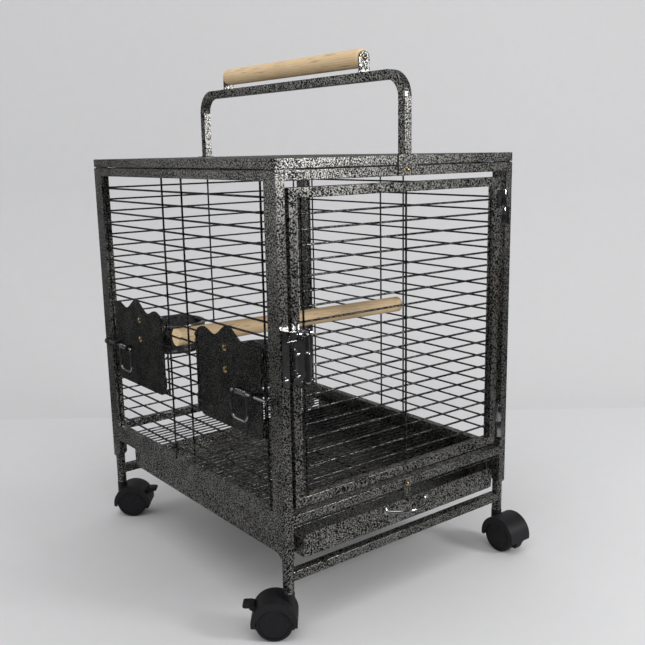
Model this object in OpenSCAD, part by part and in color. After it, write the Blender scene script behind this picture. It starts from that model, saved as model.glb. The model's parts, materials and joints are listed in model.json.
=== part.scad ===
// Travel cage for a parrot: a welded wire cage on four twin-wheel casters.
// Origin: on the floor under the middle of the cage. +Z up, the door faces -Y,
// the two feeder hatches face -X.

/* [Overall] */
// Width of the cage over its corner posts
body_w = 420; // [380:5:520]
// Depth of the cage over its corner posts
body_d = 514; // [490:2:620]
// Height from the lower end of the legs to the top of the roof
frame_h = 550; // [520:5:700]
// Height of a caster, floor to the end of the leg
caster_h = 61.5; // [60:0.5:66]

/* [Frame] */
// Width of a corner post, left to right
post_x = 12.7; // [12:0.1:16]
// Depth of a corner post, front to back
post_y = 25.4; // [20:0.2:32]
// Side of the square rail tube
rail = 12.7; // [11:0.1:13]
// Wall of the tubes
wall = 1.2; // [0.8:0.1:2]
// Height of the two side floor rails
side_rail_h = 25.4; // [20:0.2:30]
// Radius of the round leg under each post
leg_r = 7.4; // [7:0.1:7.6]
// Height of the post's lower end above the end of the leg
post_foot = 45.4; // [42:0.2:50]
// Height of the base rails above the end of the leg
base_rail_up = 14; // [8:1:18]
// Height of the top of the floor rails above the end of the leg
floor_up = 104; // [102:1:110]
// Height of the tray's runners above the end of the leg
runner_up = 40; // [38:1:42]

/* [Roof] */
// Depth of the roof cap's skirt
skirt_h = 12.2; // [10:0.2:16]
// Thickness of the roof sheet
roof_t = 1.5; // [1:0.1:2]
// Gap between the skirt and the top rails
skirt_gap = 1.5; // [1:0.1:2.5]

/* [Handle] */
// Height of the handle's bar over the roof
handle_h = 110; // [90:2:140]
// Bend radius of the handle tube at its middle line
handle_bend = 30; // [20:1:40]
// Width of a handle foot plate
foot_w = 33.5; // [28:0.5:40]
// Diameter of the two wooden dowels
dowel_d = 25.4; // [19:0.2:28]
// Length of the grip dowel
grip_l = 343; // [250:1:370]
// Height of the grip dowel's middle above the handle bar
grip_up = 21; // [20:0.5:26]
// Width of the two lugs that hold the grip dowel
lug_w = 19; // [16:0.5:24]

/* [Wire] */
// Diameter of the panel wire
wire_d = 2.8; // [2.4:0.1:3.2]
// Diameter of the grate wire
grate_d = 2.4; // [2:0.1:3]
// Spacing of the grate wires
grate_pitch = 12.7; // [10:0.1:20]
// Rows between the floor rail and the top rail on the sides and back
side_rows = 22; // [20:1:26]
// Rows in the door
door_rows = 20; // [18:1:24]

/* [Door] */
// Gap above and below the door
door_gap = 8; // [6:0.5:10]
// Gap between the door and the latch-side post
door_slit = 5.6; // [3:0.1:8]
// Gap between the door and the hinge-side post
hinge_slit = 10.6; // [10:0.2:12]
// Radius of a hinge knuckle
knuckle_r = 4; // [3.6:0.1:4.2]
// Radius of a hinge pin
pin_r = 2.2; // [2:0.1:2.4]
// Length of a hinge
hinge_l = 50; // [40:1:60]
// Height of the latch's top below the top rail
latch_down = 176.6; // [150:0.2:200]

/* [Feeders] */
// Width of a feeder hatch
hatch_w = 156; // [150:1:160]
// Height of a feeder hatch, without its crown
hatch_h = 122; // [120:1:126]
// Height of the crown's peaks above the hatch
crown_h = 17; // [8:1:20]
// Distance from the middle of the cage to each hatch's hinge edge
hatch_in = 57; // [56:1:60]
// Radius of a bowl at its rim
bowl_r = 49; // [44:1:52]
// Depth of a bowl
bowl_h = 46; // [36:1:46]
// Thickness of the hatch plate
hatch_t = 1.6; // [1.2:0.1:2]

/* [Tray] */
// Height of the tray's front plate
tray_front_h = 31.5; // [28:0.5:32]
// Thickness of the tray's sheet
tray_t = 1.4; // [1:0.1:2]
// Distance between the two ends of the pull
pull_w = 76; // [60:2:110]
// How far the pull stands out from the tray
pull_out = 21; // [18:1:26]

/* [Casters] */
// Radius of a caster wheel
wheel_r = 25; // [23:0.5:25.5]
// Width of one of a caster's two wheels
tread_w = 12.4; // [10:0.2:13]
// Distance from the caster's stem to its axle
trail = 19; // [17:0.5:20]
// Radius of a caster's axle
axle_r = 3; // [2.5:0.1:4]

/* [Hidden] */
$fn = 32;
e = 0.01;
weld = 0.4;
run_fit = 0.06;
gap = 0.4;

// Outer faces
x0 = -body_w / 2;
y0 = -body_d / 2;
y1 = body_d / 2;
roof_z = caster_h + frame_h;

// Heights
leg_z = caster_h;
post_z0 = leg_z + post_foot;
top_rail_z1 = roof_z - skirt_h - skirt_gap;
top_rail_z0 = top_rail_z1 - rail;
floor_z1 = leg_z + floor_up;
floor_z0 = floor_z1 - rail;
runner_z = leg_z + runner_up;
base_z0 = leg_z + base_rail_up;

// Colours
black = [0.10, 0.10, 0.11];
steel = [0.75, 0.76, 0.78];
brass = [0.80, 0.62, 0.32];
timber = [0.80, 0.66, 0.50];
nylon = [0.05, 0.05, 0.06];

// A round bar between two heights along X, Y or Z
module bar_x(a, b, y, z, r) translate([a, y, z]) rotate([0, 90, 0]) cylinder(h = b - a, r = r);
module bar_y(a, b, x, z, r) translate([x, a, z]) rotate([-90, 0, 0]) cylinder(h = b - a, r = r);
module bar_z(a, b, x, y, r) translate([x, y, a]) cylinder(h = b - a, r = r);
module box(a, b) translate(a) cube(b - a);

// ---- Frame ----
leg_in = leg_r + 0.3;
stem_r = 5;
stem_up = 32;
cut_h = 11;
cut_y = 13.4;

// One post at the front left, with its round leg and the caster's socket
module post_shape() {
    color(black)
    difference() {
        union() {
            difference() {
                box([x0, y0, post_z0], [x0 + post_x, y0 + post_y, top_rail_z1]);
                translate([x0 - 1, y0 + post_y - cut_y, post_z0])
                rotate([90, 0, 90])
                linear_extrude(post_x + 2)
                polygon([[0, -1], [cut_y + 1, -1], [cut_y + 1, cut_h], [cut_y, cut_h], [0, 0]]);
                box([x0 + wall, y0 + wall, post_z0 + 2 * cut_h],
                    [x0 + post_x - wall, y0 + post_y - wall, top_rail_z1 + 1]);
            }
            bar_z(leg_z, post_z0 + 0.5, x0 + leg_in, y0 + leg_in, leg_r);
        }
        bar_z(leg_z - 1, leg_z + stem_up + 1, x0 + leg_in, y0 + leg_in, stem_r + run_fit);
    }
}
module post_front_left() post_shape();
module post_front_right() mirror([1, 0, 0]) post_shape();
module post_rear_left() mirror([0, 1, 0]) post_shape();
module post_rear_right() mirror([1, 0, 0]) mirror([0, 1, 0]) post_shape();

// A front rail and its twin at the back
module cross_rails(z, h) {
    for (m = [0, 1])
        mirror([0, m, 0])
        difference() {
            box([x0 + post_x, y0, z], [-x0 - post_x, y0 + rail, z + h]);
            box([x0, y0 + wall, z + wall], [-x0, y0 + rail - wall, z + h - wall]);
        }
}
// A left rail and its twin on the right
module side_rails(z, h) {
    for (m = [0, 1])
        mirror([m, 0, 0])
        difference() {
            box([x0, y0 + post_y, z], [x0 + rail, y1 - post_y, z + h]);
            box([x0 + wall, y0, z + wall], [x0 + rail - wall, y1, z + h - wall]);
        }
}
module top_rails() {
    color(black) {
        cross_rails(top_rail_z0, rail);
        side_rails(top_rail_z0, rail);
    }
}
module floor_rails() {
    color(black) {
        cross_rails(floor_z0, rail);
        side_rails(floor_z1 - side_rail_h, side_rail_h);
    }
}
module base_rails() {
    color(black)
    for (m = [0, 1])
        mirror([0, m, 0])
        difference() {
            box([x0 + leg_in, y0 + leg_in - rail / 2, base_z0],
                [-x0 - leg_in, y0 + leg_in + rail / 2, base_z0 + rail]);
            box([x0, y0 + leg_in - rail / 2 + wall, base_z0 + wall],
                [-x0, y0 + leg_in + rail / 2 - wall, base_z0 + rail - wall]);
            for (s = [-1, 1])
                bar_z(base_z0 - 1, base_z0 + rail + 1, s * (-x0 - leg_in), y0 + leg_in, leg_r);
        }
}

// Channels under the side rails: the tray slides on the lower flange and the grate
// lies on the ledge
runner_t = 1.5;
runner_in = 16;
runner_y1 = y1 - 58;
runner_round = 12;
grate_z = floor_z0 - 5;
ledge_z = grate_z - 3 * grate_d / 2 + weld - 0.2;
module runner_shape() {
    color(black)
    intersection() {
        union() {
            box([x0 + rail, y0 + post_y, runner_z], [x0 + rail + runner_t, runner_y1, floor_z1 - 4]);
            box([x0 + rail, y0 + post_y, runner_z], [x0 + rail + runner_in, runner_y1, runner_z + runner_t]);
            box([x0 + rail, y0 + post_y, ledge_z - runner_t], [x0 + rail + 12, runner_y1, ledge_z]);
        }
        translate([x0, 0, 0])
        rotate([90, 0, 90])
        linear_extrude(rail + runner_in + 1)
        union() {
            translate([y0, runner_z + runner_round]) square([runner_y1 - y0, floor_up]);
            translate([y0, runner_z - 1]) square([runner_y1 - y0 - runner_round, floor_up]);
            translate([runner_y1 - runner_round, runner_z + runner_round]) circle(r = runner_round);
        }
    }
}
module tray_runners() {
    runner_shape();
    mirror([1, 0, 0]) runner_shape();
}

// ---- Roof ----
module roof_cap() {
    z0 = roof_z - skirt_h;
    color(black)
    union() {
        difference() {
            box([x0, y0, z0], [-x0, y1, roof_z]);
            box([x0 + roof_t, y0 + roof_t, z0 - 1], [-x0 - roof_t, y1 - roof_t, roof_z - roof_t]);
        }
        for (i = [0, 1])
            for (j = [0, 1])
                mirror([i, 0, 0])
                mirror([0, j, 0])
                box([x0 + 2, y0 + 2, top_rail_z1], [x0 + post_x, y0 + post_y, roof_z - 1]);
    }
}

// ---- Handle ----
foot_t = 2;
screw_z = roof_z - 19;
bar_z0 = roof_z + handle_h - rail;
leg_y = y0 - foot_t + rail / 2;
grip_z = roof_z + handle_h + grip_up - 2;
lug_t = 2.5;
lug_y = -grip_l / 2;
screw_r = 2;

// Half of the handle's path, swept by a square of side w: leg, bend and half of the bar
module handle_path(w) {
    mid_z = bar_z0 + rail / 2;
    bend_y = leg_y + handle_bend;
    box([-w / 2, leg_y - w / 2, roof_z], [w / 2, leg_y + w / 2, mid_z - handle_bend]);
    translate([0, bend_y, mid_z - handle_bend])
    rotate([0, 90, 0])
    rotate([0, 0, 180])
    rotate_extrude(angle = 90, $fn = 64)
    translate([handle_bend - w / 2, -w / 2])
    square(w);
    box([-w / 2, bend_y, mid_z - w / 2], [w / 2, 0, mid_z + w / 2]);
}
// The front leg with its foot plate, the bend, half of the bar and one lug
module handle_half() {
    difference() {
        handle_path(rail);
        handle_path(rail - 2 * wall);
    }
    difference() {
        box([-foot_w / 2, y0 - foot_t, top_rail_z0 + 0.5], [foot_w / 2, y0, roof_z + 1]);
        bar_y(y0 - foot_t - 1, y0 + 1, 0, screw_z, screw_r + 0.2);
    }
    difference() {
        translate([0, lug_y, 0])
        rotate([90, 0, 0])
        linear_extrude(lug_t)
        union() {
            translate([-lug_w / 2, bar_z0 + rail - 1]) square([lug_w, grip_z - bar_z0 - rail + 1]);
            translate([0, grip_z]) circle(d = lug_w);
        }
        bar_y(lug_y - lug_t - 1, lug_y + 1, 0, grip_z, screw_r + 0.2);
    }
}
module handle() {
    color(black)
    union() {
        handle_half();
        mirror([0, 1, 0]) handle_half();
    }
}
module grip_dowel() {
    edge = 4;
    r = dowel_d / 2;
    color(timber)
    difference() {
        translate([0, -grip_l / 2, grip_z])
        rotate([-90, 0, 0])
        rotate_extrude($fn = 48)
        union() {
            square([r - edge, grip_l]);
            translate([0, edge]) square([r, grip_l - 2 * edge]);
            translate([r - edge, edge]) circle(r = edge);
            translate([r - edge, grip_l - edge]) circle(r = edge);
        }
        for (m = [0, 1])
            mirror([0, m, 0])
            bar_y(-grip_l / 2 - 1, -grip_l / 2 + 20, 0, grip_z, screw_r);
    }
}

// A dome screw whose head bears on the plane y = 0 and faces -Y
module dome_screw(shank, r = screw_r, head = 3.6) {
    bar_y(-0.3, shank, 0, 0, r);
    difference() {
        intersection() {
            translate([0, head * 0.7, 0]) sphere(r = head * 1.22);
            bar_y(-head, 0, 0, 0, head);
        }
        box([-0.5, -head, -2.2], [0.5, -head * 0.3, 2.2]);
        box([-2.2, -head, -0.5], [2.2, -head * 0.3, 0.5]);
    }
}
keeper_y = y0 - 2;
keeper_z = floor_z1 - 7.6;
module brass_screws() {
    color(brass) {
        for (m = [0, 1])
            mirror([0, m, 0]) {
                translate([0, y0 - foot_t, screw_z]) dome_screw(foot_t, screw_r, 4);
                translate([0, lug_y - lug_t, grip_z]) dome_screw(20, screw_r, 4);
            }
        translate([0, keeper_y, keeper_z]) dome_screw(2);
    }
}

// ---- Perch ----
perch_y = -2;
perch_yaw = -3.3;
row_h = (top_rail_z0 - floor_z1) / side_rows;
perch_z = floor_z1 + 10 * row_h;
upright_x = x0 + wire_d / 2;
wire_x = upright_x + wire_d - weld;
module perch() {
    end = -wire_x + wire_d;
    color(timber)
    translate([0, perch_y, 0])
    rotate([0, 0, perch_yaw])
    difference() {
        bar_x(-end, end, 0, perch_z, dowel_d / 2, $fn = 48);
        for (s = [-1, 1])
            translate([s * (end - 2), 0, perch_z])
            cube([8, dowel_d + 2, wire_d + 2 * gap], center = true);
    }
}

// ---- Wire panels ----
edge_in = 8.5;
pair = 28.5;
open_lo = 5;
open_hi = 11;
hatch_z0 = floor_z1 + open_lo * row_h - 4;
pin_y = hatch_in - 4.5;
hatch_out = hatch_in + hatch_w;
stay_y = pin_y - 5;

// Wires along Y, each row whole or broken at the two hatches
module side_wires(hatches) {
    ya = y0 + post_y;
    for (i = [1 : side_rows - 1]) {
        z = floor_z1 + i * row_h;
        if (hatches && i > open_lo && i < open_hi) {
            for (m = [0, 1])
                mirror([0, m, 0])
                bar_y(ya, -hatch_out + 1 + weld, wire_x, z, wire_d / 2);
            bar_y(-stay_y - weld, stay_y + weld, wire_x, z, wire_d / 2);
        } else {
            bar_y(ya, -ya, wire_x, z, wire_d / 2);
        }
    }
}
// Wires along Z, welded to the outside of the rows
module side_uprights() {
    for (y = [y0 + post_y + edge_in, -pair, pair, y1 - post_y - edge_in])
        bar_z(floor_z1, top_rail_z0, upright_x, y, wire_d / 2);
}
module mesh_left() {
    x = wire_x + wire_d - weld;
    color(black)
    union() {
        side_wires(true);
        side_uprights();
        for (y = [-hatch_out + 1, -stay_y, stay_y, hatch_out - 1])
            bar_z(floor_z1 + open_lo * row_h - 3, floor_z1 + open_hi * row_h + 3, x, y, wire_d / 2);
    }
}
module mesh_right() {
    color(black)
    mirror([1, 0, 0])
    union() {
        side_wires(false);
        side_uprights();
    }
}
module mesh_back() {
    y = y1 - wire_d / 2;
    color(black)
    union() {
        for (i = [1 : side_rows - 1])
            bar_x(x0 + post_x, -x0 - post_x, y - wire_d + weld, floor_z1 + i * row_h, wire_d / 2);
        for (x = [x0 + post_x + edge_in, 0, -x0 - post_x - edge_in])
            bar_z(floor_z1, top_rail_z0, x, y, wire_d / 2);
    }
}

// ---- Grate ----
module grate() {
    xa = x0 + rail + runner_t + 2.2;
    ya = y0 + 2;
    yb = y1 - post_y - 2;
    n = floor((yb - ya) / grate_pitch);
    color(black)
    union() {
        for (i = [0 : n])
            bar_x(xa, -xa, ya + 2 + i * grate_pitch, grate_z, grate_d / 2);
        for (x = [xa + 6, xa / 2, 0, -xa / 2, -xa - 6])
            bar_y(ya, ya + 4 + n * grate_pitch, x, grate_z - grate_d + weld, grate_d / 2);
    }
}

// ---- Tray ----
tray_x = x0 + rail + 16.5;
tray_y0 = y0 + 1;
tray_y1 = runner_y1 - 3;
tray_z0 = runner_z + runner_t + gap;
tray_wall = 24;
pull_r = 2.4;
pull_z = tray_z0 + tray_front_h - 9;

module tray() {
    inx = x0 + rail + runner_t + 1.6;
    color(black)
    difference() {
        union() {
            translate([0, tray_y0 + 2, 0])
            rotate([90, 0, 0])
            linear_extrude(2)
            rounded(tray_x, tray_z0, -tray_x, tray_z0 + tray_front_h, 7);
            difference() {
                box([inx, tray_y0 + 26, tray_z0], [-inx, tray_y1, tray_z0 + tray_wall]);
                box([inx + tray_t, tray_y0 + 27.4, tray_z0 + tray_t], [-inx - tray_t, tray_y1 - tray_t, tray_z0 + 99]);
            }
            difference() {
                box([tray_x, tray_y0 + 1, tray_z0], [-tray_x, tray_y0 + 28, tray_z0 + tray_wall]);
                box([tray_x + tray_t, tray_y0 + 2, tray_z0 + tray_t], [-tray_x - tray_t, tray_y0 + 29, tray_z0 + 99]);
            }
        }
        box([tray_x + tray_t, tray_y0 + 20, tray_z0 + tray_t], [-tray_x - tray_t, tray_y0 + 35, tray_z0 + 99]);
    }
}
// A rectangle with rounded corners
module rounded(xa, za, xb, zb, r) {
    union() {
        translate([xa + r, za]) square([xb - xa - 2 * r, zb - za]);
        translate([xa, za + r]) square([xb - xa, zb - za - 2 * r]);
        for (x = [xa + r, xb - r])
            for (z = [za + r, zb - r])
                translate([x, z]) circle(r = r);
    }
}
// The pull: a bowed wire that stands out from the tray's front
module tray_pull() {
    half = pull_w / 2;
    bow_r = (half * half + pull_out * pull_out) / (2 * pull_out);
    turn = asin(half / bow_r);
    color(steel)
    union() {
        intersection() {
            translate([0, tray_y0 - pull_out + bow_r, pull_z])
            rotate([0, 0, 270 - turn - 4])
            rotate_extrude(angle = 2 * turn + 8, $fn = 64)
            translate([bow_r, 0])
            circle(r = pull_r);
            box([-pull_w, tray_y0 - 60, pull_z - 9], [pull_w, tray_y0, pull_z + 9]);
        }
        for (m = [-1, 1])
            bar_y(tray_y0 - 1.2, tray_y0, m * half, pull_z, 5);
    }
}
// A tab that hangs from a screw over the edge of the grate, so the grate can't slide out
module tray_keeper() {
    color(black)
    difference() {
        translate([0, keeper_y + 1.6, 0])
        rotate([90, 0, 0])
        linear_extrude(1.4)
        union() {
            translate([0, keeper_z]) circle(r = 6);
            translate([-6, keeper_z - 19]) square([12, 19]);
        }
        bar_y(keeper_y - 1, keeper_y + 3, 0, keeper_z, screw_r + run_fit);
    }
}

// ---- Front door ----
door_x0 = x0 + post_x + door_slit;
door_x1 = -x0 - post_x - hinge_slit;
door_z0 = floor_z1 + door_gap;
door_z1 = top_rail_z0 - door_gap;
door_y = y0 + 0.5;
hinge_x = -x0 - post_x - hinge_slit / 2;
hinge_y = y0 - 1;
hinge_zs = [door_z1 - 18 - hinge_l, door_z0 + 10];
leaf_t = 1.6;

module door_frame() {
    color(black)
    difference() {
        box([door_x0, door_y, door_z0], [door_x1, door_y + rail, door_z1]);
        box([door_x0 + rail, door_y - 1, door_z0 + rail], [door_x1 - rail, door_y + rail + 1, door_z1 - rail]);
    }
}
module door_mesh() {
    y = door_y + wire_d / 2;
    za = door_z0 + rail;
    zb = door_z1 - rail;
    pitch = (zb - za) / door_rows;
    xa = door_x0 + rail;
    xb = door_x1 - rail;
    color(black)
    union() {
        for (i = [1 : door_rows - 1])
            bar_x(xa, xb, y + wire_d - weld, za + i * pitch, wire_d / 2);
        for (x = [xa + 6.5, 0, xb - 6.5])
            bar_z(za, zb, x, y, wire_d / 2);
    }
}
// Half of each hinge: its knuckle and a leaf that reaches to x = to_x
module hinge_half(za, zb, to_x, bore) {
    side = to_x > hinge_x ? 1 : -1;
    color(black)
    difference() {
        union() {
            bar_z(za, zb, hinge_x, hinge_y, knuckle_r);
            box([min(hinge_x, to_x), hinge_y - 0.2, za], [max(hinge_x, to_x), y0 + (side > 0 ? 0 : 0.5), zb]);
        }
        bar_z(za - 1, zb + 1, hinge_x, hinge_y, bore);
    }
}
module door_hinge_lower() {
    for (z = hinge_zs)
        hinge_half(z, z + hinge_l / 2 - gap, -x0 - post_x + 8, pin_r);
}
module door_hinge_upper() {
    for (z = hinge_zs)
        hinge_half(z + hinge_l / 2, z + hinge_l, door_x1 - 8, pin_r + run_fit);
}
module door_hinge_pins() {
    color(steel)
    for (z = hinge_zs) {
        bar_z(z + 0.5, z + hinge_l + gap, hinge_x, hinge_y, pin_r);
        bar_z(z + hinge_l + gap, z + hinge_l + 2.2, hinge_x, hinge_y, knuckle_r - 0.4);
    }
}

// ---- Door latch ----
latch_z1 = top_rail_z0 - latch_down;
latch_h = 72;
flange_gap = 13;
flange_t = 1.6;
flange_out = 11;
bolt_r = 3.2;
bolt_y = y0 - 6.2;
bolt_z = latch_z1 - flange_gap / 2 - flange_t / 2;
plate_t = 1.5;
post_mid = x0 + post_x / 2 + 0.6;
stile_mid = door_x0 + rail / 2 + 1;

// A plate with two flanges that the bolt runs between
module latch_channel(xa, xb, plate_x, y) {
    box([xa, y - plate_t, latch_z1 - latch_h], [plate_x, y, latch_z1]);
    for (z = [latch_z1 - flange_t, latch_z1 - flange_gap - flange_t])
        box([xa, y0 - flange_out, z], [xb, y, z + flange_t]);
}
strike_z = latch_z1 - 62;
case_zs = [latch_z1 - 32, latch_z1 - 60];
module latch_strike() {
    xa = x0 + 1.8;
    xb = door_x0 - 1.2;
    color(steel)
    difference() {
        union() {
            latch_channel(xa, xb, x0 + post_x - 0.2, y0);
            box([xa, y0 - flange_out, latch_z1 - flange_gap - flange_t], [xa + 1.6, y0, latch_z1]);
            difference() {
                box([xa + 5, bolt_y - 5, latch_z1 - flange_gap], [xb, y0, latch_z1 - flange_t]);
                bar_x(xa + 4, xb + 1, bolt_y, bolt_z, bolt_r + 0.4);
            }
        }
        bar_y(y0 - 20, y0 + 1, post_mid, strike_z, 1.8);
    }
}
module strike_screws() {
    color(steel)
    translate([post_mid, y0 - plate_t, strike_z]) dome_screw(plate_t, 1.7, 3.4);
}
module latch_case() {
    xa = door_x0 + 0.6;
    xb = door_x0 + rail;
    end = xb + 7;
    color(steel)
    difference() {
        union() {
            latch_channel(xa, end, xb, door_y);
            translate([0, door_y, 0])
            rotate([90, 0, 0])
            linear_extrude(plate_t)
            rounded(xa, latch_z1 - 64, door_x0 + 29.5, latch_z1 - flange_gap, 5);
            box([xa, bolt_y - 5, latch_z1 - flange_gap], [xa + 2.5, door_y, latch_z1 - flange_t]);
            box([end - 3, bolt_y - 5, latch_z1 - flange_gap], [end, door_y, latch_z1 - flange_t]);
        }
        bar_x(xa - 1, end + 1, bolt_y, bolt_z, bolt_r + run_fit);
        for (z = case_zs)
            bar_y(y0 - 20, door_y + 1, stile_mid, z, 1.8);
    }
}
module latch_screws() {
    color(steel)
    for (z = case_zs)
        translate([stile_mid, door_y - plate_t, z]) dome_screw(plate_t, 1.7, 3.4);
}
// The sliding bolt, drawn back from the strike, with its collar and its lever
module latch_bolt() {
    lever_x = door_x0 + 11.1;
    lever_y = y0 - flange_out - 4.6;
    arm_r = 2.4;
    knob_r = 4.2;
    color(steel)
    union() {
        bar_x(door_x0 - 0.4, door_x0 + rail + 12, bolt_y, bolt_z, bolt_r);
        bar_x(lever_x - 2, lever_x + 2, bolt_y, bolt_z, 4.6);
        bar_y(lever_y, bolt_y, lever_x, bolt_z, arm_r);
        bar_z(bolt_z - 24, bolt_z, lever_x, lever_y, arm_r);
        translate([lever_x, lever_y, bolt_z]) sphere(r = arm_r);
        bar_z(bolt_z - 58, bolt_z - 24, lever_x, lever_y, knob_r);
        for (z = [bolt_z - 58, bolt_z - 24])
            translate([lever_x, lever_y, z]) sphere(r = knob_r);
    }
}

// ---- Feeder hatches ----
hatch_x = x0 + 0.5;
pin_x = hatch_x + hatch_t / 2;
pin_wire = 2.2;
hatch_knuckle = 3.2;
knuckle_zs = [hatch_z0 + 14, hatch_z0 + hatch_h - 30];
knuckle_l = 16;
ring_x = x0 + 60;
ring_mid = hatch_in + 69;
rim_z = hatch_z0 + 99;
rod_r = 2.2;
rod_x = x0 - 6;
rod_z = hatch_z0 + 58;
catch_y = post_y - 7;
screw_zs = [hatch_z0 + 78, hatch_z0 + 108];

// Crown: the top edge's height over the hatch at t, from 0 to 1 across its width.
// A tall middle lobe stands between two low ones.
function bump(t, mid, half) = abs(t - mid) < half ? (1 + cos(180 * (t - mid) / half)) / 2 : 0;
function crown(t) = crown_h * max(bump(t, 0.5, 0.24), 0.42 * bump(t, 0.1, 0.17), 0.42 * bump(t, 0.9, 0.17));
crown_steps = 48;

// The hatch at +Y; the one at -Y is its mirror image
module hatch_shape() {
    color(black)
    difference() {
        union() {
            translate([hatch_x, 0, 0])
            rotate([90, 0, 90])
            linear_extrude(hatch_t)
            polygon(concat(
                [for (a = [180 : 15 : 270]) [hatch_in + 8 + 8 * cos(a), hatch_z0 + 8 + 8 * sin(a)]],
                [for (a = [270 : 15 : 360]) [hatch_out - 8 + 8 * cos(a), hatch_z0 + 8 + 8 * sin(a)]],
                [for (i = [crown_steps : -1 : 0])
                    [hatch_in + i / crown_steps * hatch_w, hatch_z0 + hatch_h + crown(i / crown_steps)]]));
            for (z = knuckle_zs) {
                bar_z(z, z + knuckle_l, pin_x, pin_y, hatch_knuckle);
                box([hatch_x, pin_y, z], [hatch_x + hatch_t, hatch_in + 1, z + knuckle_l]);
            }
            for (y = [lug_a, lug_b])
                rod_lug(y);
        }
        for (z = knuckle_zs)
            bar_z(z - 1, z + knuckle_l + 1, pin_x, pin_y, pin_wire + run_fit);
        bar_y(lug_b - 1, hatch_out + 1, rod_x, rod_z, rod_r + run_fit);
        for (z = screw_zs)
            bar_x(hatch_x - 1, hatch_x + hatch_t + 1, ring_mid, z, screw_r + 0.2);
    }
}
// A lug on the hatch that guides the bolt
module rod_lug(y) {
    box([rod_x, y, rod_z - 4.5], [hatch_x + 0.5, y + 3, rod_z + 4.5]);
    bar_y(y, y + 3, rod_x, rod_z, 4.5);
}
module at_front() mirror([0, 1, 0]) children();

// The ring that holds the bowl, with its strap to the hatch
bowl_body = bowl_r - 2.6;
bead_r = 1.2;
ring_in = bowl_body + 0.8;
ring_out = ring_in + 2.4;
ring_h = 16;
ring_z = rim_z - 2.05 - ring_h;
module ring_shape() {
    strap_z = screw_zs[0] - 8;
    color(black)
    difference() {
        union() {
            bar_z(ring_z, ring_z + ring_h, ring_x, ring_mid, ring_out, $fn = 64);
            box([hatch_x + hatch_t, ring_mid - 11, strap_z], [hatch_x + hatch_t + 2, ring_mid + 11, screw_zs[1] + 8]);
            box([hatch_x + hatch_t, ring_mid - 11, ring_z], [ring_x - ring_out + 4, ring_mid + 11, ring_z + ring_h]);
        }
        bar_z(ring_z - 1, ring_z + ring_h + 1, ring_x, ring_mid, ring_in, $fn = 64);
        for (z = screw_zs)
            bar_x(hatch_x, hatch_x + 12, ring_mid, z, screw_r);
    }
}
// The bowl: a steel cup with a rolled rim
module bowl_shape() {
    t = 0.9;
    body = bowl_body;
    curve = 8;
    color(steel)
    translate([ring_x, ring_mid, rim_z - bowl_h])
    rotate_extrude($fn = 64)
    difference() {
        union() {
            translate([0, curve]) square([body, bowl_h - curve]);
            translate([body - curve, curve]) circle(r = curve);
            square([body - curve, curve]);
            translate([body - 1, bowl_h - 1.6]) square([3, 1.6]);
            translate([body + 2, bowl_h - 0.8]) circle(r = bead_r);
        }
        translate([-e, t]) square([body - curve + e, bowl_h]);
        translate([-e, curve]) square([body - t + e, bowl_h]);
        translate([body - curve, curve]) circle(r = curve - t);
    }
}
// Two screws through the hatch, heads outside
module hatch_screw_shape() {
    color(brass)
    for (z = screw_zs)
        translate([hatch_x, ring_mid, z])
        rotate([0, 0, -90])
        dome_screw(hatch_t + 2, screw_r, 5);
}
// The bolt: a rod with a D-shaped pull round its inner lug, drawn back out of its catch
rod_travel = 6;
catch_t = 3;
rod_tip = y1 - catch_y - catch_t - 0.6;
lug_a = hatch_out - 13;
lug_b = hatch_out - 53;
loop_l = 38;
loop_y = lug_b - rod_travel - 4;
module hatch_bolt_shape() {
    loop_drop = 38;
    bend = 10;
    top_bend = 3.5;
    ya = loop_y;
    color(steel)
    union() {
        bar_y(ya + top_bend, rod_tip, rod_x, rod_z, rod_r);
        for (m = [0, 1])
            translate([rod_x, ya + m * loop_l, 0])
            bar_z(rod_z - loop_drop + bend, rod_z - (m == 0 ? top_bend : 0), 0, 0, rod_r - 0.2);
        translate([rod_x, ya + top_bend, rod_z - top_bend]) quarter(90, top_bend);
        translate([rod_x, ya + bend, rod_z - loop_drop + bend]) quarter(180, bend);
        translate([rod_x, ya + loop_l - bend, rod_z - loop_drop + bend]) quarter(270, bend);
        bar_y(ya + bend, ya + loop_l - bend, rod_x, rod_z - loop_drop, rod_r - 0.2);
    }
}
// A quarter bend of the pull's wire in the YZ plane
module quarter(turn, bend) {
    rotate([90, 0, 90])
    rotate([0, 0, turn])
    rotate_extrude(angle = 90)
    translate([bend, 0]) circle(r = rod_r - 0.2);
}
// The coil spring, drawn as its turns
module hatch_spring_shape() {
    turns = 8;
    coil_r = 0.6;
    a = lug_b + 3 + coil_r;
    b = loop_y + loop_l - rod_r - coil_r;
    color(steel)
    for (i = [0 : turns - 1])
        translate([rod_x, a + i * (b - a) / (turns - 1), rod_z])
        rotate([-90, 0, 0])
        rotate_extrude()
        translate([rod_r + coil_r + 0.3, 0]) circle(r = coil_r);
}
// The fixed hinge pins, each held by two small brackets on the wire panel
module hatch_pins() {
    color(steel)
    for (m = [0, 1])
        mirror([0, m, 0])
        union() {
            bar_z(hatch_z0 + 4, hatch_z0 + hatch_h - 4, pin_x, pin_y, pin_wire);
            for (z = [hatch_z0 + 6, hatch_z0 + hatch_h - 10])
                box([pin_x - 0.5, stay_y - 1, z], [wire_x + wire_d / 2 + 0.3, pin_y + 1.5, z + 4]);
        }
}
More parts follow.
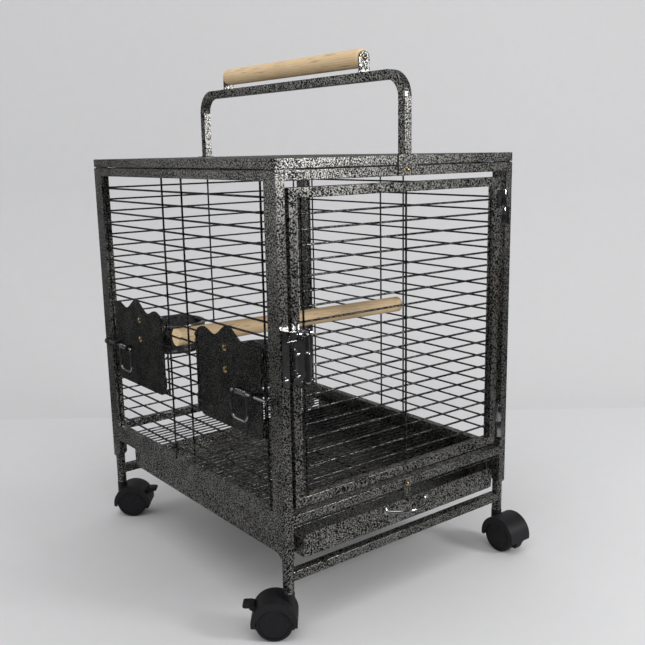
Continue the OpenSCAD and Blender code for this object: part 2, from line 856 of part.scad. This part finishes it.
// The catches on the left posts that the bolts enter
module hatch_catches() {
    y = y1 - catch_y;
    color(black)
    for (m = [0, 1])
        mirror([0, m, 0])
        difference() {
            union() {
                box([rod_x, y - catch_t, rod_z - 5], [x0, y, rod_z + 5]);
                bar_y(y - catch_t, y, rod_x, rod_z, 5);
                box([x0 - 1.5, y - catch_t, rod_z - 11], [x0, y + 12, rod_z + 11]);
            }
            bar_y(y - catch_t - 1, y + 1, rod_x, rod_z, rod_r + gap);
        }
}

// ---- Casters ----
stem_x = -x0 - leg_in;
stem_y = y1 - leg_in;
web = 6;
hood_r = 30.5;
hood_in = wheel_r + 1.8;
hood_y = web + gap + 0.2 + tread_w + 1.8;
neck_r = 7.8;
pin_low = 4;
ring_t = 2.3;
neck_top = leg_z - ring_t - 0.3;
pedal_x = trail + 29;
pedal_z = wheel_r + 18;
pedal_r = 3.2;
pedal_pin = 1.5;

module caster_stems() {
    color(steel)
    for (i = [0, 1])
        for (j = [0, 1])
            mirror([i, 0, 0])
            mirror([0, j, 0])
            union() {
                bar_z(leg_z, leg_z + stem_up, stem_x, stem_y, stem_r);
                bar_z(leg_z - ring_t, leg_z, stem_x, stem_y, 6.6);
                bar_z(wheel_r + 10, leg_z, stem_x, stem_y, pin_low);
            }
}
// The hood: a web between the wheels, a fender over them and a neck round the stem
module hood_shape(ears) {
    color(nylon)
    difference() {
        union() {
            intersection() {
                translate([trail, 0, wheel_r]) rotate([90, 0, 0]) cylinder(h = 2 * hood_y, r = hood_r, center = true, $fn = 64);
                box([-60, -hood_y, wheel_r - 5], [80, hood_y, 80]);
            }
            intersection() {
                translate([trail, 0, wheel_r]) rotate([90, 0, 0]) cylinder(h = 2 * web, r = hood_r - 1, center = true, $fn = 64);
                box([-60, -web, 9], [80, web, 80]);
            }
            bar_z(wheel_r + 8, neck_top, 0, 0, neck_r);
            if (ears)
                for (s = [-1, 1])
                    translate([0, s * 8.6, 0])
                    hull() {
                        translate([pedal_x, 0, pedal_z]) rotate([90, 0, 0]) cylinder(h = 2.4, r = pedal_r, center = true);
                        translate([pedal_x - 9, 0, pedal_z - 3]) rotate([90, 0, 0]) cylinder(h = 2.4, r = 2, center = true);
                    }
        }
        for (s = [-1, 1])
            translate([trail, s * (web + hood_y - 1.5) / 2, wheel_r])
            rotate([90, 0, 0])
            cylinder(h = hood_y - 1.5 - web, r = hood_in, center = true, $fn = 64);
        for (s = [-1, 1])
            translate([trail, s * (web + hood_y + 5) / 2, wheel_r - 5])
            rotate([90, 0, 0])
            cylinder(h = hood_y + 5 - web, r = hood_in - 1.8, center = true, $fn = 64);
        bar_z(wheel_r + 9, neck_top + 1, 0, 0, pin_low + run_fit);
        translate([trail, 0, wheel_r]) rotate([90, 0, 0]) cylinder(h = 3 * web, r = axle_r, center = true);
        if (ears)
            translate([pedal_x, 0, pedal_z]) rotate([90, 0, 0]) cylinder(h = 40, r = pedal_pin, center = true);
    }
}
module wheels_shape() {
    w = tread_w;
    edge = 2.5;
    a = web + 0.6;
    color(nylon)
    for (m = [0, 1])
        mirror([0, m, 0])
        difference() {
            translate([trail, a, wheel_r])
            rotate([-90, 0, 0])
            rotate_extrude($fn = 64)
            union() {
                square([wheel_r - edge, w]);
                translate([0, edge]) square([wheel_r, w - 2 * edge]);
                translate([wheel_r - edge, edge]) circle(r = edge);
                translate([wheel_r - edge, w - edge]) circle(r = edge);
            }
            bar_y(a - 1, a + w - 3, trail, wheel_r, axle_r + run_fit);
            translate([trail, a + w - 0.8, wheel_r])
            rotate([-90, 0, 0])
            difference() {
                cylinder(h = 2, r = wheel_r - 4.5, $fn = 64);
                translate([0, 0, -1]) cylinder(h = 4, r = wheel_r - 6, $fn = 64);
            }
        }
}
module axle_shape() {
    half = web + 0.6 + tread_w - 4;
    color(steel) bar_y(-half, half, trail, wheel_r, axle_r);
}
// The brake pedal, which turns on a pin between the hood's ears
module pedal_shape() {
    color(nylon)
    union() {
        translate([pedal_x, 0, pedal_z]) rotate([90, 0, 0]) cylinder(h = 14, r = pedal_r, center = true);
        translate([pedal_x, 0, pedal_z]) rotate([90, 0, 0]) cylinder(h = 19.4, r = pedal_pin - run_fit, center = true);
        box([pedal_x, -7, pedal_z - 1.6], [pedal_x + 9, 7, pedal_z + 5]);
        translate([pedal_x + 9, 0, pedal_z + 1.7]) rotate([90, 0, 0]) cylinder(h = 14, r = 3.3, center = true);
    }
}
yaw_fl = 142;
yaw_rl = -38;
yaw_fr = -90;
yaw_rr = 20;
module place(sx, sy, yaw) translate([sx * stem_x, sy * stem_y, 0]) rotate([0, 0, yaw]) children();

post_front_left();
post_front_right();
post_rear_left();
post_rear_right();
top_rails();
floor_rails();
base_rails();
tray_runners();
roof_cap();
handle();
grip_dowel();
brass_screws();
perch();
mesh_left();
mesh_right();
mesh_back();
grate();
tray();
tray_pull();
tray_keeper();
door_frame();
door_mesh();
door_hinge_lower();
door_hinge_upper();
door_hinge_pins();
latch_strike();
strike_screws();
latch_case();
latch_screws();
latch_bolt();
at_front() hatch_shape();  // hatch_front
hatch_shape();  // hatch_rear
at_front() ring_shape();  // bowl_ring_front
ring_shape();  // bowl_ring_rear
at_front() bowl_shape();  // bowl_front
bowl_shape();  // bowl_rear
at_front() hatch_screw_shape();  // hatch_screws_front
hatch_screw_shape();  // hatch_screws_rear
at_front() hatch_bolt_shape();  // hatch_bolt_front
hatch_bolt_shape();  // hatch_bolt_rear
at_front() hatch_spring_shape();  // hatch_spring_front
hatch_spring_shape();  // hatch_spring_rear
hatch_pins();
hatch_catches();
caster_stems();
place(-1, -1, yaw_fl) hood_shape(true);  // caster_hood_fl
place(1, -1, yaw_fr) hood_shape(false);  // caster_hood_fr
place(-1, 1, yaw_rl) hood_shape(true);  // caster_hood_rl
place(1, 1, yaw_rr) hood_shape(false);  // caster_hood_rr
place(-1, -1, yaw_fl) wheels_shape();  // caster_wheels_fl
place(1, -1, yaw_fr) wheels_shape();  // caster_wheels_fr
place(-1, 1, yaw_rl) wheels_shape();  // caster_wheels_rl
place(1, 1, yaw_rr) wheels_shape();  // caster_wheels_rr
place(-1, -1, yaw_fl) axle_shape();  // caster_axle_fl
place(1, -1, yaw_fr) axle_shape();  // caster_axle_fr
place(-1, 1, yaw_rl) axle_shape();  // caster_axle_rl
place(1, 1, yaw_rr) axle_shape();  // caster_axle_rr
place(-1, -1, yaw_fl) pedal_shape();  // brake_pedal_fl
place(-1, 1, yaw_rl) pedal_shape();  // brake_pedal_rl
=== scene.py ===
"""The looks of a bird travel cage on four casters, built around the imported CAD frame.

Metres, +Z up. The door faces -Y and the feeder hatches face -X.
"""
import json
import math

import bmesh
import bpy
from mathutils import Matrix, Vector


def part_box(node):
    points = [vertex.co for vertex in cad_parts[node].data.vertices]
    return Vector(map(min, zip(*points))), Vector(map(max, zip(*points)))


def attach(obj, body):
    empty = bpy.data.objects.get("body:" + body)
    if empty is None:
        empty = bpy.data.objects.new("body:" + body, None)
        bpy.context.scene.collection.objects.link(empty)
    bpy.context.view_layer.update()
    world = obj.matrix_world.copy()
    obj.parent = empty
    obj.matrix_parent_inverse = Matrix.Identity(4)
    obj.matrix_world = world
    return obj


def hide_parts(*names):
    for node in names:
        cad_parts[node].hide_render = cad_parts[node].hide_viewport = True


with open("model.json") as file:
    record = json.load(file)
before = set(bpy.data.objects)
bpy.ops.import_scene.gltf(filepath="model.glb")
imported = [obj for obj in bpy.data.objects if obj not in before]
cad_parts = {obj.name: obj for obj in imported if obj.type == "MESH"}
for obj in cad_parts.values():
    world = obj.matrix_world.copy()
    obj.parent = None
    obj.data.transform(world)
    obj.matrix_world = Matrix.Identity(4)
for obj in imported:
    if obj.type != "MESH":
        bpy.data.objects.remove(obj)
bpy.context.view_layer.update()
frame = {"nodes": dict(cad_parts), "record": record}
nodes = frame["nodes"]
MM = 0.001


# ---------------------------------------------------------------- node helpers
def new_material(name):
    """An empty node material: (material, node tree, Principled shader)."""
    material = bpy.data.materials.new(name)
    material.use_nodes = True
    tree = material.node_tree
    return material, tree, tree.nodes["Principled BSDF"]


def add(tree, kind, **values):
    """Adds a shader node. Keys are its properties, or inputs written as in_NAME with _ for spaces."""
    node = tree.nodes.new("ShaderNode" + kind)
    for key, value in values.items():
        if key.startswith("in_"):
            node.inputs[key[3:].replace("_", " ")].default_value = value
        else:
            setattr(node, key, value)
    return node


def link(tree, a, b):
    """Links an output socket to an input socket."""
    tree.links.new(a, b)


def object_coords(tree, scale=(1, 1, 1), move=(0, 0, 0)):
    """Object coordinates, which are the frame's own metres at rest: scaled, then moved."""
    coords = add(tree, "TexCoord")
    mapping = add(tree, "Mapping", in_Scale=scale, in_Location=move)
    link(tree, coords.outputs["Object"], mapping.inputs["Vector"])
    return mapping.outputs["Vector"]


def noise(tree, vector, scale, detail=2.0, roughness=0.5, distortion=0.0):
    """A noise texture's value."""
    node = add(tree, "TexNoise", in_Scale=scale, in_Detail=detail, in_Roughness=roughness,
               in_Distortion=distortion)
    link(tree, vector, node.inputs["Vector"])
    return node.outputs["Fac"]


def remap(tree, value, low, high, to_low=0.0, to_high=1.0, smooth=True):
    """Maps low..high to to_low..to_high, clamped, in an S curve or a straight line."""
    node = add(tree, "MapRange", interpolation_type="SMOOTHSTEP" if smooth else "LINEAR")
    node.inputs["From Min"].default_value = low
    node.inputs["From Max"].default_value = high
    node.inputs["To Min"].default_value = to_low
    node.inputs["To Max"].default_value = to_high
    link(tree, value, node.inputs["Value"])
    return node.outputs["Result"]


def math_node(tree, operation, a, b=0.0):
    """The result of one operation. a and b are sockets or numbers, and b is left out where it isn't used."""
    node = add(tree, "Math", operation=operation)
    for i, value in enumerate((a, b)):
        if isinstance(value, (int, float)):
            node.inputs[i].default_value = value
        else:
            link(tree, value, node.inputs[i])
    return node.outputs[0]


def distance_2d(tree, u, v):
    """How far the point u, v is from zero."""
    squares = (math_node(tree, "MULTIPLY", u, u), math_node(tree, "MULTIPLY", v, v))
    return math_node(tree, "SQRT", math_node(tree, "ADD", *squares))


def mix_colour(tree, factor, a, b):
    """Blends two colours, each a socket or an RGB triple."""
    node = add(tree, "Mix", data_type="RGBA")
    link(tree, factor, node.inputs["Factor"])
    for socket, value in ((node.inputs[6], a), (node.inputs[7], b)):
        if isinstance(value, tuple):
            socket.default_value = (*value, 1)
        else:
            link(tree, value, socket)
    return node.outputs[2]


def bump(tree, shader, height, distance, strength=1.0):
    """Adds a height map to the shader's normal."""
    node = add(tree, "Bump", in_Strength=strength, in_Distance=distance)
    link(tree, height, node.inputs["Height"])
    link(tree, node.outputs["Normal"], shader.inputs["Normal"])


# ------------------------------------------------------------------- materials
def hammertone(name, fleck_size, cover, silver=(0.74, 0.73, 0.69), depth=0.10 * MM):
    """Black powder coat with worm-like silver flecks, depth high. cover is about the share that is silver."""
    black = (0.002, 0.002, 0.0023)
    dull_silver = tuple(c * 0.45 for c in silver)
    drift_size, edge_blur = 30 * MM, 0.010
    material, tree, shader = new_material(name)
    at = object_coords(tree)
    flecks = noise(tree, at, 1 / fleck_size, detail=1.5, roughness=0.45, distortion=0.6)
    drift = noise(tree, at, 1 / drift_size, detail=1.0)
    edge = 0.5 + (0.5 - cover) * 0.30
    uneven = math_node(tree, "ADD", flecks, remap(tree, drift, 0.3, 0.7, -0.02, 0.02))
    mask = remap(tree, uneven, edge - edge_blur, edge + edge_blur)
    shade = noise(tree, at, 2 / fleck_size, detail=2.0)
    bright = mix_colour(tree, remap(tree, shade, 0.35, 0.65), dull_silver, silver)
    link(tree, mix_colour(tree, mask, black, bright), shader.inputs["Base Color"])
    link(tree, remap(tree, mask, 0, 1, 0.0, 0.92, smooth=False), shader.inputs["Metallic"])
    link(tree, remap(tree, mask, 0, 1, 0.38, 0.32, smooth=False), shader.inputs["Roughness"])
    shader.inputs["Specular IOR Level"].default_value = 0.16
    bump(tree, shader, uneven, depth, 0.6)
    return material


def chrome(name):
    """Bright plate with faint smears and a slight ripple."""
    tint, smoothest = (0.80, 0.80, 0.82), 0.07
    material, tree, shader = new_material(name)
    at = object_coords(tree)
    smear = noise(tree, at, 90, detail=4.0, roughness=0.6)
    ripple = noise(tree, at, 260, detail=1.0)
    link(tree, remap(tree, smear, 0.35, 0.75, smoothest, smoothest + 0.14), shader.inputs["Roughness"])
    link(tree, mix_colour(tree, remap(tree, smear, 0.3, 0.7), tuple(c * 0.8 for c in tint), tint),
         shader.inputs["Base Color"])
    shader.inputs["Metallic"].default_value = 1.0
    bump(tree, shader, ripple, 0.05 * MM, 0.25)
    return material


def spun_steel(name, centre_x, centre_y):
    """Stainless steel with spinning lines round each bowl's own axis, at centre_x and +-centre_y."""
    dark, light = (0.60, 0.60, 0.61), (0.78, 0.78, 0.79)
    material, tree, shader = new_material(name)
    split = add(tree, "SeparateXYZ")
    link(tree, object_coords(tree), split.inputs["Vector"])
    dx = math_node(tree, "SUBTRACT", split.outputs["X"], centre_x)
    dy = math_node(tree, "SUBTRACT", math_node(tree, "ABSOLUTE", split.outputs["Y"]), centre_y)
    joined = add(tree, "CombineXYZ")
    link(tree, distance_2d(tree, dx, dy), joined.inputs["X"])
    link(tree, split.outputs["Z"], joined.inputs["Y"])
    lines = noise(tree, joined.outputs["Vector"], 2600, detail=2.0)
    smear = noise(tree, object_coords(tree), 60, detail=3.0)
    link(tree, remap(tree, smear, 0.3, 0.7, 0.16, 0.30), shader.inputs["Roughness"])
    link(tree, mix_colour(tree, lines, dark, light), shader.inputs["Base Color"])
    shader.inputs["Metallic"].default_value = 1.0
    bump(tree, shader, lines, 0.03 * MM, 0.5)
    return material


def brass(name):
    """Polished brass with darker tarnished spots."""
    clean, dull = (1.0, 0.80, 0.45), (0.85, 0.60, 0.27)
    material, tree, shader = new_material(name)
    at = object_coords(tree)
    tarnish = noise(tree, at, 420, detail=3.0)
    link(tree, mix_colour(tree, remap(tree, tarnish, 0.4, 0.7), clean, dull), shader.inputs["Base Color"])
    link(tree, remap(tree, tarnish, 0.3, 0.7, 0.17, 0.30), shader.inputs["Roughness"])
    shader.inputs["Metallic"].default_value = 1.0
    return material


def dowel_wood(name, along, centre):
    """Bare hardwood with its grain along one axis, 0 for X or 1 for Y, and its heart beside centre."""
    early, late, pale = (0.92, 0.67, 0.39), (0.80, 0.53, 0.27), (0.95, 0.76, 0.49)
    stain, pore = (0.68, 0.49, 0.30), (0.30, 0.17, 0.09)
    heart = (9 * MM, 14 * MM)
    ring_pitch, ring_wander = 2.6 * MM, 9 * MM
    grain_stretch = 0.045
    material, tree, shader = new_material(name)
    stretch = [1.0, 1.0, 1.0]
    stretch[along] = grain_stretch
    move = [-c * s for c, s in zip(centre, stretch)]
    move[along] = 0.0
    at = object_coords(tree, stretch, move)
    wander = noise(tree, at, 55)
    split = add(tree, "SeparateXYZ")
    link(tree, at, split.inputs["Vector"])
    across = [split.outputs[axis] for axis in "XYZ" if axis != "XYZ"[along]]
    radius = distance_2d(tree, *(math_node(tree, "ADD", a, h) for a, h in zip(across, heart)))
    wavy = math_node(tree, "ADD", radius, math_node(tree, "MULTIPLY", wander, ring_wander))
    rings = math_node(tree, "SINE", math_node(tree, "MULTIPLY", wavy, 2 * math.pi / ring_pitch))
    fibre = noise(tree, at, 900, detail=3.0, roughness=0.6)
    pores = remap(tree, noise(tree, at, 520, detail=1.0), 0.62, 0.70)
    patch = noise(tree, object_coords(tree), 18)
    tone = mix_colour(tree, remap(tree, rings, -1, 1), early, late)
    tone = mix_colour(tree, remap(tree, fibre, 0.3, 0.75, 0.0, 0.75), tone, pale)
    tone = mix_colour(tree, remap(tree, patch, 0.45, 0.75, 0.0, 0.4), tone, stain)
    tone = mix_colour(tree, math_node(tree, "MULTIPLY", pores, 0.55), tone, pore)
    link(tree, tone, shader.inputs["Base Color"])
    link(tree, remap(tree, fibre, 0.3, 0.7, 0.52, 0.68), shader.inputs["Roughness"])
    bump(tree, shader, math_node(tree, "SUBTRACT", fibre, pores), 0.12 * MM, 0.5)
    return material


def nylon(name, colour, roughness, grain):
    """Moulded nylon with a fine spark-eroded grain and faint pale scuffs."""
    scuffed = tuple(c * 2.4 + 0.01 for c in colour)
    material, tree, shader = new_material(name)
    at = object_coords(tree)
    speckle = noise(tree, at, 1 / grain, detail=2.0)
    scuff = remap(tree, noise(tree, at, 70, detail=5.0, roughness=0.7), 0.56, 0.75)
    link(tree, mix_colour(tree, math_node(tree, "MULTIPLY", scuff, 0.35), colour, scuffed),
         shader.inputs["Base Color"])
    grained = remap(tree, speckle, 0.3, 0.7, roughness - 0.04, roughness + 0.05)
    link(tree, math_node(tree, "ADD", grained, math_node(tree, "MULTIPLY", scuff, 0.18)),
         shader.inputs["Roughness"])
    bump(tree, shader, speckle, 0.06 * MM, 0.5)
    return material


def studio_paper(name, colour, shade_in_reflection_near, shade_in_reflection_far):
    """Seamless paper. Its back is clear, so a view from behind looks through it.

    The near and far factors darken its colour in shiny metal's reflections. This is a painted shade standing
    in for a room whose far end is unlit:
    near within near_end of the middle of the floor, far beyond far_start, in metres.
    """
    near_end, far_start = 0.5, 1.1
    creased = tuple(c * 0.985 for c in colour)
    near_painted_shade = tuple(c * shade_in_reflection_near for c in colour)
    far_painted_shade = tuple(c * shade_in_reflection_far for c in colour)
    material, tree, shader = new_material(name)
    at = object_coords(tree)
    fibre = noise(tree, at, 35, detail=6.0, roughness=0.65)
    tone = mix_colour(tree, remap(tree, fibre, 0.3, 0.7), creased, colour)
    path = add(tree, "LightPath")
    reach = add(tree, "VectorMath", operation="LENGTH")
    link(tree, at, reach.inputs[0])
    # Painted shade: in glossy reflections the paper's colour is darkened, fading darker away from the middle
    # of the floor.
    reflection_painted_shade = mix_colour(tree, remap(tree, reach.outputs["Value"], near_end, far_start), near_painted_shade, far_painted_shade)
    link(tree, mix_colour(tree, path.outputs["Is Glossy Ray"], tone, reflection_painted_shade), shader.inputs["Base Color"])
    shader.inputs["Roughness"].default_value = 0.75
    shader.inputs["Specular IOR Level"].default_value = 0.1
    clear = add(tree, "BsdfTransparent")
    geometry = add(tree, "NewGeometry")
    mixer = add(tree, "MixShader")
    link(tree, geometry.outputs["Backfacing"], mixer.inputs["Fac"])
    link(tree, shader.outputs["BSDF"], mixer.inputs[1])
    link(tree, clear.outputs["BSDF"], mixer.inputs[2])
    link(tree, mixer.outputs["Shader"], tree.nodes["Material Output"].inputs["Surface"])
    return material


def middle(node):
    """Middle of a node's box at rest."""
    low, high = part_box(node)
    return (low + high) / 2


PAINT = hammertone("hammertone_paint", 1.75 * MM, 0.42)
FINE_PAINT = hammertone("hammertone_hatch", 1.3 * MM, 0.30, silver=(0.46, 0.455, 0.43))
WIRE_PAINT = hammertone("hammertone_wire", 1.7 * MM, 0.28, silver=(0.42, 0.415, 0.40), depth=0.05 * MM)
CHROME = chrome("bright_chrome")
STEEL = spun_steel("spun_stainless", middle("bowl_rear").x, middle("bowl_rear").y)
BRASS = brass("brass_screws")
GRIP_WOOD = dowel_wood("wood_grip", 1, middle("grip_dowel"))
PERCH_WOOD = dowel_wood("wood_perch", 0, middle("perch"))
NYLON = nylon("nylon_hood", (0.016, 0.016, 0.018), 0.42, 0.6 * MM)
WHEEL_NYLON = nylon("nylon_wheel", (0.012, 0.012, 0.014), 0.26, 0.9 * MM)
BY_SLOT = {"hammered_paint": PAINT, "wire_paint": WIRE_PAINT, "chrome": CHROME, "stainless": STEEL,
           "brass": BRASS, "wood": GRIP_WOOD, "nylon": NYLON, "wheel_nylon": WHEEL_NYLON}
BY_NODE = {"perch": PERCH_WOOD, "hatch_front": FINE_PAINT, "hatch_rear": FINE_PAINT, "hatch_pins": FINE_PAINT}


def dress_cad_nodes():
    """Gives every CAD node its own material if it has one, and otherwise that of its slot."""
    for part in frame["record"]["subparts"]:
        name = part["node"]
        mesh = nodes[name].data
        mesh.materials.clear()
        mesh.materials.append(BY_NODE.get(name, BY_SLOT[part["material_slot"]]))


dress_cad_nodes()


# ------------------------------------------------------- edges and springs
WELD_WITHIN = 0.002 * MM
SHARP_ANGLE = math.radians(50)
ROUNDED = {0.9 * MM: ("post_front_left", "post_front_right", "post_rear_left", "post_rear_right", "top_rails",
                      "floor_rails", "base_rails", "door_frame", "handle"),
           0.5 * MM: ("roof_cap", "tray", "tray_runners", "hatch_front", "hatch_rear", "tray_keeper",
                      "latch_case", "latch_strike", "hatch_catches", "door_hinge_lower",
                      "door_hinge_upper", "bowl_ring_front", "bowl_ring_rear", "brake_pedal_fl",
                      "brake_pedal_rl")}


def round_edges():
    """Rolls the sharp edges of tube and sheet by the widths in ROUNDED. The CAD meshes stay as they are."""
    for width, names in ROUNDED.items():
        for name in names:
            weld = nodes[name].modifiers.new("weld", "WELD")
            weld.merge_threshold = WELD_WITHIN
            edge = nodes[name].modifiers.new("rolled_edge", "BEVEL")
            edge.width = width
            edge.segments = 2
            edge.limit_method = "ANGLE"
            edge.angle_limit = SHARP_ANGLE
            edge.use_clamp_overlap = True
            edge.harden_normals = True


def add_spring(node, body, turns, wire_r):
    """A wound spring in place of the CAD's row of rings. It lies along Y, inside their box.

    It has a flat turn at each end and turns - 1 open ones between them.
    """
    low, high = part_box(node)
    centre = middle(node)
    radius = (high.z - low.z) / 2 - wire_r
    first, last = low.y + wire_r, high.y - wire_r
    per_turn = 20
    open_steps = (turns - 1) * per_turn
    points = []
    for i in range(-per_turn, open_steps + per_turn + 1):
        along = min(max(i / open_steps, 0.0), 1.0)
        angle = i / per_turn * 2 * math.pi
        points.append((centre.x + radius * math.cos(angle), first + along * (last - first),
                       centre.z + radius * math.sin(angle)))
    curve = bpy.data.curves.new(node + "_coil", "CURVE")
    curve.dimensions = "3D"
    curve.bevel_depth = wire_r
    curve.bevel_resolution = 3
    spline = curve.splines.new("POLY")
    spline.points.add(len(points) - 1)
    for point, at in zip(spline.points, points):
        point.co = (*at, 1)
    spline.use_smooth = True
    coil = bpy.data.objects.new(node + "_coil", curve)
    bpy.context.scene.collection.objects.link(coil)
    curve.materials.append(CHROME)
    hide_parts(node)
    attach(coil, body)


round_edges()
for side in ("front", "rear"):
    add_spring("hatch_spring_" + side, "hatch_" + side, turns=8, wire_r=0.6 * MM)


# ------------------------------------------------------- stage, light and camera
CAMERA_AT = Vector((-0.7781, -1.0742, 0.6206))
LOOK_ALONG = Vector((0.60027, 0.77433, -0.20025))
CAMERA_ROLL = math.radians(-1.093)
LENS_MM = 47.26
SENSOR_MM = 36
WALL_PAPER = (0.735, 0.735, 0.74)
FLOOR_PAPER = (0.78, 0.78, 0.785)
# The room's own light: what shiny things see of it, what matt things get on top, and what the camera sees.
ROOM_GLOW = 0.04
ROOM_FILL = 0.74
ROOM_SEEN = 0.68


def add_camera():
    """The scene's camera, about as high as the roof, off the cage's front left corner."""
    data = bpy.data.cameras.new("camera")
    data.lens = LENS_MM
    data.sensor_width = SENSOR_MM
    camera = bpy.data.objects.new("camera", data)
    bpy.context.scene.collection.objects.link(camera)
    camera.location = CAMERA_AT
    turn = LOOK_ALONG.to_track_quat("-Z", "Y").to_matrix()
    camera.rotation_euler = (turn @ Matrix.Rotation(CAMERA_ROLL, 3, "Z")).to_euler()
    bpy.context.scene.camera = camera


def add_ground(name, rows, material):
    """A stage surface lofted through rows of two points."""
    mesh = bmesh.new()
    made = [[mesh.verts.new(point) for point in row] for row in rows]
    for a, b in zip(made, made[1:]):
        mesh.faces.new((a[0], b[0], b[1], a[1])).smooth = True
    data = bpy.data.meshes.new(name)
    mesh.to_mesh(data)
    mesh.free()
    ground = bpy.data.objects.new(name, data)
    bpy.context.scene.collection.objects.link(ground)
    data.materials.append(material)


def add_studio():
    """A wide floor, and a roll of paper that curves up behind the cage as the camera sees it."""
    away = Vector((LOOK_ALONG.x, LOOK_ALONG.y, 0)).normalized()
    side = Vector((away.y, -away.x, 0))
    wall_start, wall_bend, wall_height, wall_half = 0.62, 0.55, 2.6, 1.36
    floor_half = 7.0
    paper_gap = 0.1 * MM
    steps = 24
    profile = [(wall_start, 0.0)]
    for i in range(1, steps + 1):
        angle = i / steps * math.pi / 2
        profile.append((wall_start + wall_bend * math.sin(angle), wall_bend * (1 - math.cos(angle))))
    profile.append((wall_start + wall_bend, wall_height))
    wall = [[away * along + side * s * wall_half + Vector((0, 0, up + paper_gap)) for s in (1, -1)]
            for along, up in profile]
    floor = [[away * along + side * s * floor_half for s in (1, -1)] for along in (-floor_half, floor_half)]
    # Both papers carry a painted shade in reflections. The wall's is even, and the floor's grows darker far
    # from the middle.
    add_ground("studio_wall", wall, studio_paper("wall_paper", WALL_PAPER, shade_in_reflection_near=0.35, shade_in_reflection_far=0.35))
    add_ground("studio_floor", floor, studio_paper("floor_paper", FLOOR_PAPER, shade_in_reflection_near=0.34, shade_in_reflection_far=0.03))


def add_area_light(name, at, aim, size, watts):
    """A rectangular soft light at a point, aimed at another."""
    data = bpy.data.lights.new(name, "AREA")
    data.shape = "RECTANGLE"
    data.size, data.size_y = size
    data.energy = watts
    light = bpy.data.objects.new(name, data)
    bpy.context.scene.collection.objects.link(light)
    light.location = at
    light.rotation_euler = (Vector(aim) - Vector(at)).to_track_quat("-Z", "Y").to_euler()


def light_studio():
    """A softbox at the front right, one overhead, a faint card at the left and an otherwise dark room."""
    add_area_light("key", (0.80, -1.72, 0.98), (0, 0, 0.40), (0.42, 0.42), 13)
    add_area_light("overhead", (-0.5, -0.4, 2.4), (0, 0.1, 0), (1.8, 1.8), 12)
    add_area_light("left_card", (-1.5, 1.25, 0.75), (-0.2, 0, 0.45), (1.4, 1.3), 2.2)
    world = bpy.data.worlds.new("studio_world")
    world.use_nodes = True
    tree = world.node_tree
    shade = tree.nodes["Background"]
    shade.inputs["Color"].default_value = (0.80, 0.80, 0.81, 1)
    path = add(tree, "LightPath")
    seen = math_node(tree, "MULTIPLY", path.outputs["Is Camera Ray"], ROOM_SEEN - ROOM_GLOW)
    fill = math_node(tree, "MULTIPLY", path.outputs["Is Diffuse Ray"], ROOM_FILL)
    extra = math_node(tree, "ADD", seen, fill)
    link(tree, math_node(tree, "ADD", extra, ROOM_GLOW), shade.inputs["Strength"])
    bpy.context.scene.world = world
    bpy.context.scene.view_settings.view_transform = "Standard"


add_camera()
add_studio()
light_studio()
